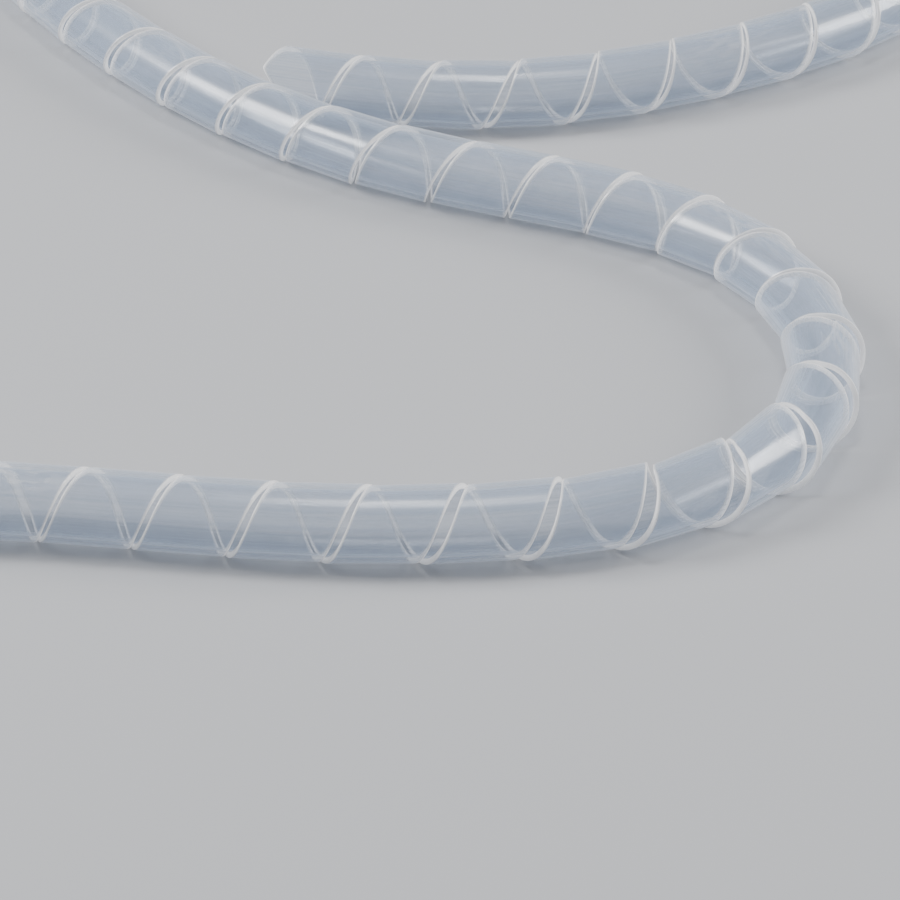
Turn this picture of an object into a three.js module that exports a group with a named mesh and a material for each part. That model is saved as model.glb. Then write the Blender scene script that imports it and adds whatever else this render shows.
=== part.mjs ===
// Spiral cable wrap: one clear tube with a left-handed slit, lying in loose bends on a floor.
// Millimetres, +Z up, floor at z = 0, origin under the middle of the whole piece.
import * as THREE from "three";

// Driving sizes
const OUTER_DIAMETER = 12;
const WALL = 0.9;
const PITCH = 14.3;
const STRIP_WIDTH = 13.7;
const CUT_LENGTH = 1000;
const SEAM_CLEARANCE = 0.3;
const SEGMENTS_PER_TURN = 18;

// Where the strip starts round the tube, in degrees from the top towards the left of the run
const START_ANGLE = -150;
// How far round the tube the slanting cut across the first end reaches, in degrees
const START_CUT_SWEEP = 105;
const START_CUT_TIP = 1.2;

// In a bend the stiff turns lag: each points the way that the route did this far behind it
const HEADING_LAG = 4;
// How far the turns have slid along the route from even spacing, as distance run and slide:
// forwards down the middle, and back in the hairpin, which opens the seams just after it
const SLIDES = [
  [0, 0], [630, 0], [673, 1], [720, 0], [770, 0], [797, -1.2], [826, -1.2], [848, -2],
  [872, -1.9], [905, -0.8], [1000, 0],
];

// How the wrap lies, as control points of one smooth curve on the floor. It starts at the free
// end inside the bends, runs out to the right, in and out round the back, down the middle,
// round the hairpin at the right and along the front to the square-cut end at the left.
const ROUTE = [
  [-36, 119.5], [-6, 111], [21.5, 113], [46.5, 122.5], [66, 133.5], [85, 149.5],
  [95, 171], [97.5, 195.5], [99.5, 223.5], [93, 244], [71.5, 258], [47, 255.5],
  [29.5, 239.5], [26, 218], [28, 201.5], [18, 178], [-1, 171.5], [-20, 178],
  [-29.5, 201.5], [-27.5, 218], [-30, 239.5], [-46, 255.5], [-66.5, 257.5], [-83.5, 246.5],
  [-90.5, 226], [-91.5, 200], [-89, 183], [-83, 166], [-69.5, 144.5], [-54, 124.5],
  [-36.5, 107], [-16, 92], [7, 82.5], [29.5, 74.5], [48.5, 61.5], [59.5, 39.5],
  [60, 20], [54, 1.5], [36.5, -13], [15, -19], [-11.5, -20.5], [-36.5, -18],
  [-61.5, -14], [-83, -13], [-95, -13], [-107, -13],
];

const outerRadius = OUTER_DIAMETER / 2;
const innerRadius = outerRadius - WALL;
const segmentAngle = (2 * Math.PI) / SEGMENTS_PER_TURN;
// The facets' flats, not their corners, lie at the true radius, so one facet in each turn
// rests flat on the floor
const cornerFactor = 1 / Math.cos(segmentAngle / 2);

// A uniform cubic B-spline through the control points, measured along its length
function layCentreline(points) {
  const count = points.length;
  const before = [2 * points[0][0] - points[1][0], 2 * points[0][1] - points[1][1]];
  const last = points[count - 1];
  const after = [2 * last[0] - points[count - 2][0], 2 * last[1] - points[count - 2][1]];
  const control = [before, ...points, after];
  const stepsPerSpan = 60;
  const line = [];
  for (let span = 0; span < control.length - 3; span += 1) {
    for (let step = 0; step < stepsPerSpan; step += 1) {
      line.push(splinePoint(control.slice(span, span + 4), step / stepsPerSpan));
    }
  }
  line.push(splinePoint(control.slice(-4), 1));
  let run = 0;
  return line.map((point, i) => {
    if (i > 0) {
      run += Math.hypot(point[0] - line[i - 1][0], point[1] - line[i - 1][1]);
    }
    return { run, x: point[0], y: point[1] };
  });
}

function splinePoint(control, t) {
  const weights = [
    (1 - t) ** 3,
    3 * t ** 3 - 6 * t ** 2 + 4,
    -3 * t ** 3 + 3 * t ** 2 + 3 * t + 1,
    t ** 3,
  ];
  return [0, 1].map((axis) => {
    return control.reduce((sum, point, i) => sum + weights[i] * point[axis], 0) / 6;
  });
}

const centreline = layCentreline(ROUTE);

// The place and heading of the centreline at a distance along it. Past either end it runs on
// straight, so a longer cut length only lengthens the straight end.
function frameAt(distance) {
  const total = centreline[centreline.length - 1].run;
  const within = Math.min(Math.max(distance, 0), total);
  let low = 0;
  let high = centreline.length - 1;
  while (high - low > 1) {
    const middle = (low + high) >> 1;
    if (centreline[middle].run <= within) {
      low = middle;
    } else {
      high = middle;
    }
  }
  const a = centreline[low];
  const b = centreline[high];
  const share = (within - a.run) / (b.run - a.run);
  const heading = Math.atan2(b.y - a.y, b.x - a.x);
  const past = distance - within;
  return {
    x: a.x + (b.x - a.x) * share + past * Math.cos(heading),
    y: a.y + (b.y - a.y) * share + past * Math.sin(heading),
    heading,
  };
}

// How far the turns near a distance along the route have slid, eased from one slide to the next
function slideAt(distance) {
  const next = SLIDES.findIndex(([at]) => at > distance);
  if (next < 1) {
    return 0;
  }
  const [from, slideFrom] = SLIDES[next - 1];
  const [to, slideTo] = SLIDES[next];
  const share = (1 - Math.cos((Math.PI * (distance - from)) / (to - from))) / 2;
  return slideFrom + (slideTo - slideFrom) * share;
}

// Where the middle of a row lies beside the route, and which way it points: the way of a short
// chord of the route behind it
function rowFrame(evenDistance, angle) {
  const distance = evenDistance + slideAt(evenDistance);
  const here = frameAt(distance);
  const back = frameAt(distance - HEADING_LAG - PITCH / 8);
  const ahead = frameAt(distance - HEADING_LAG + PITCH / 8);
  const heading = Math.atan2(ahead.y - back.y, ahead.x - back.x);
  const forward = { x: Math.cos(heading), y: Math.sin(heading) };
  const side = outerRadius * Math.sin(angle);
  const middle = { x: here.x - side * forward.y, y: here.y + side * forward.x };
  return { distance, here, forward, middle };
}

// How far a row can reach along its own direction and stay a clearance short of the start of
// the next turn's row beside it
function roomAhead(row, nextRow) {
  const startX = nextRow.middle.x - (STRIP_WIDTH / 2) * nextRow.forward.x - row.middle.x;
  const startY = nextRow.middle.y - (STRIP_WIDTH / 2) * nextRow.forward.y - row.middle.y;
  return startX * row.forward.x + startY * row.forward.y - SEAM_CLEARANCE;
}

// The strip's rows. Each row is a straight line along the run, at one angle round the tube:
// the angle grows to the left as the run goes on, which makes the helix left-handed.
function stripRows() {
  const startAngle = THREE.MathUtils.degToRad(START_ANGLE);
  const cutSweep = THREE.MathUtils.degToRad(START_CUT_SWEEP);
  const half = STRIP_WIDTH / 2;
  const rows = [];
  for (let i = 0; ; i += 1) {
    const turned = i * segmentAngle;
    const along = half + (PITCH * turned) / (2 * Math.PI);
    const angle = startAngle + turned;
    const frame = rowFrame(along, angle);
    const reach = Math.min(half, roomAhead(frame, rowFrame(along + PITCH, angle)));
    const cutShare = Math.min(1, turned / cutSweep);
    const left = reach - START_CUT_TIP - (reach + half - START_CUT_TIP) * cutShare;
    const right = Math.min(reach, CUT_LENGTH - frame.distance);
    if (right - left < START_CUT_TIP) {
      break;
    }
    rows.push({ frame, angle, left, right });
  }
  return rows;
}

function rowPoint(row, radius, along) {
  const { here, forward } = row.frame;
  const corner = radius * cornerFactor;
  const side = corner * Math.sin(row.angle);
  return new THREE.Vector3(
    here.x - side * forward.y + along * forward.x,
    here.y + side * forward.x + along * forward.y,
    outerRadius + corner * Math.cos(row.angle),
  );
}

// Four corners a row, joined row to row into one closed strip with its two ends capped
function stripGeometry(rows) {
  const positions = [];
  for (const row of rows) {
    const corners = [
      rowPoint(row, outerRadius, row.left),
      rowPoint(row, outerRadius, row.right),
      rowPoint(row, innerRadius, row.right),
      rowPoint(row, innerRadius, row.left),
    ];
    corners.forEach((corner) => positions.push(corner.x, corner.y, corner.z));
  }
  const indices = [];
  const quad = (a, b, c, d) => indices.push(a, b, c, a, c, d);
  for (let i = 0; i < rows.length - 1; i += 1) {
    for (let side = 0; side < 4; side += 1) {
      const next = (side + 1) % 4;
      quad(4 * i + side, 4 * i + next, 4 * i + 4 + next, 4 * i + 4 + side);
    }
  }
  const end = 4 * (rows.length - 1);
  quad(3, 2, 1, 0);
  quad(end, end + 1, end + 2, end + 3);
  const geometry = new THREE.BufferGeometry();
  geometry.setAttribute("position", new THREE.Float32BufferAttribute(positions, 3));
  geometry.setIndex(indices);
  return geometry;
}

const geometry = stripGeometry(stripRows());

// The origin goes under the middle of the piece, on the floor
geometry.computeBoundingBox();
const { min, max } = geometry.boundingBox;
geometry.translate(-(min.x + max.x) / 2, -(min.y + max.y) / 2, -min.z);
geometry.computeVertexNormals();

const clearPolyethylene = new THREE.MeshStandardMaterial({
  name: "clear_polyethylene",
  color: new THREE.Color(0.72, 0.76, 0.8),
  roughness: 0.35,
  metalness: 0,
});

const wrap = new THREE.Mesh(geometry, clearPolyethylene);
wrap.name = "spiral_wrap";

const part = new THREE.Group();
part.name = "spiral_cable_wrap";
part.add(wrap);

export default part;
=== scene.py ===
import math

import bpy
import numpy as np
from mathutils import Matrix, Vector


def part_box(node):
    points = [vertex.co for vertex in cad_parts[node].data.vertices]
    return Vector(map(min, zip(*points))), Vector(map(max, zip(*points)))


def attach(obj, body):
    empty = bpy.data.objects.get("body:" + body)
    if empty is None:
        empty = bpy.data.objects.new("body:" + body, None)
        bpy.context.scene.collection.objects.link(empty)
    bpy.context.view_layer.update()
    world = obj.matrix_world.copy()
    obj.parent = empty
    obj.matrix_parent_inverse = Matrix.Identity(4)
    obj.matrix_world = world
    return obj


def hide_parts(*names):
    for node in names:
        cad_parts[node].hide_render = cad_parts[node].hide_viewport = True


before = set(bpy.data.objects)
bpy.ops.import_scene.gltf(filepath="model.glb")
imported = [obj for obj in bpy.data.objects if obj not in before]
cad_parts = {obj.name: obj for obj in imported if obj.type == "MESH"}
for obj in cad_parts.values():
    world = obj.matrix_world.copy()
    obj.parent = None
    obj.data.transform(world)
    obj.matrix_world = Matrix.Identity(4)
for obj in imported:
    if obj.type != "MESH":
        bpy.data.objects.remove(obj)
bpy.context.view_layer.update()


# Spiral wrap: one piece of clear natural polyethylene tube, extruded with a thin wall and then
# slit right through along a left-handed helix, so that it winds round a bundle of cables.
# It lies loose on the floor as it came off its roll, in flat bends, with nothing fixed to it.
outer_radius = 0.006
wall = 0.0009
pitch = 0.0143
strip_width = 0.0137
cut_length = 1.0
seam_clearance = 0.0003
start_angle = math.radians(-150)
heading_lag = 0.004
# how far the turns have slid along the route from even spacing, as distance run and slide
slides = 0.001 * np.array([
    (0, 0), (630, 0), (673, 1), (720, 0), (770, 0), (797, -1.2), (826, -1.2), (848, -2),
    (872, -1.9), (905, -0.8), (1000, 0),
])
start_cut_sweep = math.radians(105)
start_cut_tip = 0.0012
rows_per_turn = 54
edge_radius = 0.00012
cut_rim = 0.00042

# The wrap's route over the floor in millimetres, point by point as in the part's source
route = 0.001 * np.array([
    (-36, 119.5), (-6, 111), (21.5, 113), (46.5, 122.5), (66, 133.5), (85, 149.5),
    (95, 171), (97.5, 195.5), (99.5, 223.5), (93, 244), (71.5, 258), (47, 255.5),
    (29.5, 239.5), (26, 218), (28, 201.5), (18, 178), (-1, 171.5), (-20, 178),
    (-29.5, 201.5), (-27.5, 218), (-30, 239.5), (-46, 255.5), (-66.5, 257.5), (-83.5, 246.5),
    (-90.5, 226), (-91.5, 200), (-89, 183), (-83, 166), (-69.5, 144.5), (-54, 124.5),
    (-36.5, 107), (-16, 92), (7, 82.5), (29.5, 74.5), (48.5, 61.5), (59.5, 39.5),
    (60, 20), (54, 1.5), (36.5, -13), (15, -19), (-11.5, -20.5), (-36.5, -18),
    (-61.5, -14), (-83, -13), (-95, -13), (-107, -13),
])


def spline_through(control, steps):
    """A uniform cubic B-spline: each span blends four neighbouring control points, with weights
    that are cubics in t and add up to six sixths. The ends are mirrored, so it starts on the
    first point."""
    padded = np.vstack([2 * control[0] - control[1], control, 2 * control[-1] - control[-2]])
    t = (np.arange(steps) / steps)[None, :, None]
    a, b, c, d = (padded[k:len(padded) - 3 + k][:, None, :] for k in range(4))
    spans = ((1 - t) ** 3 * a + (3 * t ** 3 - 6 * t ** 2 + 4) * b
             + (-3 * t ** 3 + 3 * t ** 2 + 3 * t + 1) * c + t ** 3 * d) / 6
    return np.vstack([spans.reshape(-1, 2), control[-1:]])


curve = spline_through(route, 60)
curve_run = np.concatenate([[0], np.cumsum(np.linalg.norm(np.diff(curve, axis=0), axis=1))])


def on_route(run):
    """Point on the route at each distance run, going straight on past its last point."""
    inside = np.clip(run, 0, curve_run[-1])
    end = (curve[-1] - curve[-2]) / np.linalg.norm(curve[-1] - curve[-2])
    start = (curve[1] - curve[0]) / np.linalg.norm(curve[1] - curve[0])
    x = np.interp(inside, curve_run, curve[:, 0])
    y = np.interp(inside, curve_run, curve[:, 1])
    beyond = np.maximum(run - curve_run[-1], 0)[:, None] * end
    before = np.minimum(run, 0)[:, None] * start
    return np.stack([x, y], 1) + beyond + before


def slid(run):
    """Distance run plus the turns' slide there, eased by half a cosine wave from one slide to
    the next."""
    k = np.clip(np.searchsorted(slides[:, 0], run, side="right"), 1, len(slides) - 1)
    (a, b), (by_a, by_b) = (slides[k - 1, 0], slides[k, 0]), (slides[k - 1, 1], slides[k, 1])
    share = (1 - np.cos(np.pi * np.clip((run - a) / (b - a), 0, 1))) / 2
    return run + by_a + (by_b - by_a) * share


def row_frames(even_run, angle):
    """Rows of the strip: how far along they are, their point on the route, their middle, beside
    it by the radius times the sine of their angle, and their direction. The direction is that of
    a short chord of the route a little way behind, because stiff turns lag in a bend and slip
    over one another like scales."""
    run = slid(even_run)
    here = on_route(run)
    behind = run - heading_lag
    chord = on_route(behind + pitch / 8) - on_route(behind - pitch / 8)
    direction = chord / np.linalg.norm(chord, axis=1)[:, None]
    leftward = np.stack([-direction[:, 1], direction[:, 0]], 1)
    side = outer_radius * np.sin(angle)
    return run, here, here + side[:, None] * leftward, direction, leftward


def strip_surface():
    """The strip as rows of one closed section. Each row stands at one angle round the tube, and
    the angle grows with the run, one turn a pitch. A row is straight along its turn's heading,
    and ends a clearance short of the start of the next turn's row beside it, so in a bend the
    slit opens outside and closes inside. Returns the points, the same points on the straight
    tube, and how far each is a cut face."""
    step = 2 * math.pi / rows_per_turn
    turned = np.arange(int((cut_length / pitch + 1) * rows_per_turn)) * step
    along = strip_width / 2 + pitch * turned / (2 * math.pi)
    angle = start_angle + turned
    run, here, row, direction, leftward = row_frames(along, angle)
    _, _, next_row, next_direction, _ = row_frames(along + pitch, angle)
    next_start = next_row - strip_width / 2 * next_direction
    room = ((next_start - row) * direction).sum(1) - seam_clearance
    reach = np.minimum(strip_width / 2, room)
    cut_share = np.minimum(1, turned / start_cut_sweep)
    left = reach - start_cut_tip - (reach + strip_width / 2 - start_cut_tip) * cut_share
    right = np.minimum(reach, cut_length - run)
    kept = right - left > 2 * (edge_radius + cut_rim)
    along, angle, here = along[kept], angle[kept], here[kept]
    direction, leftward = direction[kept], leftward[kept]
    left, right = left[kept], right[kept]

    # the section: across the outside, round the two corners of a cut face, back across the
    # inside and round the other two; the white of a cut face fades out within a rim
    flat = np.concatenate([[0, 0], np.linspace(0, 1, 6)[1:-1], [1, 1]])
    rim = np.zeros(8)
    rim[1], rim[-2] = cut_rim, -cut_rim
    bend = np.linspace(0, math.pi / 2, 4)[1:-1]
    out_r, in_r = outer_radius, outer_radius - wall
    r = edge_radius
    share = np.concatenate([flat, np.ones(4), flat[::-1], np.zeros(4)])
    push = np.concatenate([
        rim, r * np.sin(bend), r * np.cos(bend),
        rim[::-1], -r * np.sin(bend), -r * np.cos(bend)])
    rho = np.concatenate([
        np.full(8, out_r), out_r - r * (1 - np.cos(bend)), in_r + r * (1 - np.sin(bend)),
        np.full(8, in_r), in_r + r * (1 - np.cos(bend)), out_r - r * (1 - np.sin(bend))])
    cut = np.ones(24)
    cut[1:7] = cut[13:19] = 0
    cut[[0, 7, 12, 19]] = 0.8

    across = ((left + r)[:, None] * (1 - share) + (right - r)[:, None] * share + push)
    side = rho * np.sin(angle)[:, None]
    flat_points = (here[:, None, :] + side[..., None] * leftward[:, None, :]
                   + across[..., None] * direction[:, None, :])
    height = outer_radius + rho * np.cos(angle)[:, None]
    points = np.concatenate([flat_points, height[..., None]], -1)
    straight = np.stack([
        rho * np.cos(angle)[:, None], side, along[:, None] + across], -1)
    return points, straight, np.broadcast_to(cut, across.shape)


def closed_strip(name, points):
    """A mesh of quads between neighbouring rows of a closed section, with both ends capped."""
    rows, ring = points.shape[:2]
    i = np.arange(rows - 1)[:, None]
    j = np.arange(ring)[None, :]
    k = (j + 1) % ring
    quads = np.stack([i * ring + j, i * ring + k, (i + 1) * ring + k, (i + 1) * ring + j], -1)
    faces = quads.reshape(-1, 4).tolist()
    faces.append(list(range(ring))[::-1])
    faces.append([(rows - 1) * ring + n for n in range(ring)])
    mesh = bpy.data.meshes.new(name)
    mesh.from_pydata(points.reshape(-1, 3).tolist(), [], faces)
    mesh.polygons.foreach_set("use_smooth", [True] * len(faces))
    mesh.update()
    return mesh


points, straight, cut = strip_surface()
node_low, node_high = (np.array(corner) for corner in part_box("spiral_wrap"))
middle = (points.reshape(-1, 3).min(0) + points.reshape(-1, 3).max(0)) / 2
shift = np.array([*((node_low + node_high) / 2 - middle)[:2], 0])
points = points + shift

mesh = closed_strip("spiral_wrap_strip", points)
tube = mesh.attributes.new("tube", "FLOAT_VECTOR", "POINT")
tube.data.foreach_set("vector", straight.reshape(-1))
edge = mesh.attributes.new("cut_face", "FLOAT", "POINT")
edge.data.foreach_set("value", np.ascontiguousarray(cut).reshape(-1))
wrap = bpy.data.objects.new("spiral_wrap_strip", mesh)
bpy.context.scene.collection.objects.link(wrap)


def clear_polyethylene():
    """Clear milky plastic: each skin lets most light straight through, scatters a little of it
    as a bluish haze that thickens where it is seen edge on, and reflects at its surface. Cut
    faces scatter nearly all of it, a warmer white."""
    material = bpy.data.materials.new("clear_polyethylene")
    material.use_nodes = True
    nodes, links = material.node_tree.nodes, material.node_tree.links
    nodes.clear()
    out = nodes.new("ShaderNodeOutputMaterial")

    place = nodes.new("ShaderNodeAttribute")
    place.attribute_name = "tube"
    face = nodes.new("ShaderNodeAttribute")
    face.attribute_name = "cut_face"

    def stretched(stretch):
        mapping = nodes.new("ShaderNodeMapping")
        mapping.inputs["Scale"].default_value = stretch
        links.new(place.outputs["Vector"], mapping.inputs["Vector"])
        return mapping.outputs["Vector"]

    def noise(stretch):
        texture = nodes.new("ShaderNodeTexNoise")
        texture.inputs["Scale"].default_value = 1.0
        texture.inputs["Detail"].default_value = 0.0
        links.new(stretched(stretch), texture.inputs["Vector"])
        return texture.outputs["Fac"]

    def ramp(value, low, high, out_low=0.0, out_high=1.0):
        node = nodes.new("ShaderNodeMapRange")
        node.inputs["From Min"].default_value = low
        node.inputs["From Max"].default_value = high
        node.inputs["To Min"].default_value = out_low
        node.inputs["To Max"].default_value = out_high
        links.new(value, node.inputs["Value"])
        return node.outputs["Result"]

    def maths(operation, a, b):
        node = nodes.new("ShaderNodeMath")
        node.operation = operation
        for socket, value in zip(node.inputs, (a, b)):
            if isinstance(value, (int, float)):
                socket.default_value = value
            else:
                links.new(value, socket)
        return node.outputs["Value"]

    # lines that the die drew along the tube, clouding in the plastic and scuffed patches
    die_lines = noise((2600, 2600, 14))
    clouding = noise((160, 160, 90))
    scuffs = noise((1500, 1500, 420))
    scuffed = ramp(noise((55, 55, 26)), 0.54, 0.70)

    facing = nodes.new("ShaderNodeLayerWeight")
    facing.inputs["Blend"].default_value = 0.5
    edge_on = maths("POWER", facing.outputs["Facing"], 2.5)

    haze = maths("ADD", 0.12, maths("MULTIPLY", edge_on, 0.72))
    haze = maths("ADD", haze, ramp(clouding, 0.35, 0.7, -0.02, 0.04))
    haze = maths("ADD", haze, ramp(die_lines, 0.45, 0.68, -0.02, 0.12))
    white = maths("MULTIPLY", scuffed, ramp(scuffs, 0.46, 0.60, 0.0, 0.3))
    white = maths("MAXIMUM", white, maths("MULTIPLY", face.outputs["Fac"], 0.96))
    haze = maths("MAXIMUM", haze, white)

    through = nodes.new("ShaderNodeBsdfTransparent")
    through.inputs["Color"].default_value = (0.95, 0.962, 0.98, 1)

    haze_colour = nodes.new("ShaderNodeMix")
    haze_colour.data_type = "RGBA"
    haze_colour.inputs["A"].default_value = (0.46, 0.56, 0.70, 1)
    haze_colour.inputs["B"].default_value = (1.0, 0.98, 0.96, 1)
    whiteness = maths("MAXIMUM", maths("MULTIPLY", edge_on, 0.75), ramp(white, 0.0, 0.5))
    links.new(whiteness, haze_colour.inputs["Factor"])

    scatter = nodes.new("ShaderNodeBsdfDiffuse")
    passed = nodes.new("ShaderNodeBsdfTranslucent")
    for shader in (scatter, passed):
        links.new(haze_colour.outputs["Result"], shader.inputs["Color"])
    milk = nodes.new("ShaderNodeMixShader")
    milk.inputs["Fac"].default_value = 0.5
    links.new(scatter.outputs["BSDF"], milk.inputs[1])
    links.new(passed.outputs["BSDF"], milk.inputs[2])

    skin = nodes.new("ShaderNodeMixShader")
    links.new(haze, skin.inputs["Fac"])
    links.new(through.outputs["BSDF"], skin.inputs[1])
    links.new(milk.outputs["Shader"], skin.inputs[2])

    gloss = nodes.new("ShaderNodeBsdfGlossy")
    gloss.inputs["Color"].default_value = (1, 1, 1, 1)
    links.new(ramp(clouding, 0.3, 0.7, 0.17, 0.27), gloss.inputs["Roughness"])
    grazing = maths("POWER", facing.outputs["Facing"], 5.0)
    mirrored = maths("ADD", 0.04, maths("MULTIPLY", grazing, 0.8))
    surface = nodes.new("ShaderNodeMixShader")
    links.new(mirrored, surface.inputs["Fac"])
    links.new(skin.outputs["Shader"], surface.inputs[1])
    links.new(gloss.outputs["BSDF"], surface.inputs[2])
    links.new(surface.outputs["Shader"], out.inputs["Surface"])
    return material


mesh.materials.append(clear_polyethylene())
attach(wrap, "root")
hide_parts("spiral_wrap")


# Floor: a plain pale sheet, not part of the wrap.
half_floor = 3.0
floor_corners = [
    (x * half_floor, y * half_floor, 0) for x, y in ((-1, -1), (1, -1), (1, 1), (-1, 1))]
floor_mesh = bpy.data.meshes.new("floor")
floor_mesh.from_pydata(floor_corners, [], [(0, 1, 2, 3)])
floor = bpy.data.objects.new("floor", floor_mesh)
bpy.context.scene.collection.objects.link(floor)
floor_paint = bpy.data.materials.new("pale_floor")
floor_paint.use_nodes = True
floor_nodes = floor_paint.node_tree.nodes
floor_nodes.clear()
matt = floor_nodes.new("ShaderNodeBsdfDiffuse")
matt.inputs["Color"].default_value = (0.375, 0.38, 0.395, 1)
floor_surface = floor_nodes.new("ShaderNodeOutputMaterial").inputs["Surface"]
floor_paint.node_tree.links.new(matt.outputs["BSDF"], floor_surface)
floor_mesh.materials.append(floor_paint)


# Camera: a long lens looking down at about 34 degrees on the front of the bends.
look_at = np.array([shift[0], shift[1], outer_radius])
elevation = math.radians(34)
distance = 0.648
camera_data = bpy.data.cameras.new("camera")
camera_data.sensor_width = 36
camera_data.lens = 168
camera_data.clip_start = 0.01
camera = bpy.data.objects.new("camera", camera_data)
camera.location = look_at + distance * np.array([0, -math.cos(elevation), math.sin(elevation)])
camera.rotation_euler = (math.pi / 2 - elevation, 0, 0)
bpy.context.scene.collection.objects.link(camera)
bpy.context.scene.camera = camera


# Lights: a soft key from the left, a small soft one overhead, one from the right, and a pale room.
def softbox(name, place, target, size, power):
    """A square area light at place, turned to face target."""
    data = bpy.data.lights.new(name, "AREA")
    data.size = size
    data.energy = power
    light = bpy.data.objects.new(name, data)
    light.location = place
    gaze = np.array(target) - np.array(place)
    light.rotation_euler = (
        math.atan2(math.hypot(gaze[0], gaze[1]), -gaze[2]), 0, math.atan2(-gaze[0], gaze[1]))
    bpy.context.scene.collection.objects.link(light)


softbox("left_softbox", (-0.78, -0.04, 0.64), (0, -0.06, 0), 0.42, 14)
softbox("top_softbox", (0.02, 0.0, 1.0), (0, -0.08, 0), 0.22, 3)
softbox("right_softbox", (0.85, 0.02, 0.48), (0, -0.06, 0), 0.5, 12)
world = bpy.data.worlds.new("room")
world.use_nodes = True
room = world.node_tree.nodes["Background"]
room.inputs["Color"].default_value = (0.95, 0.97, 1, 1)
room.inputs["Strength"].default_value = 0.42
bpy.context.scene.world = world
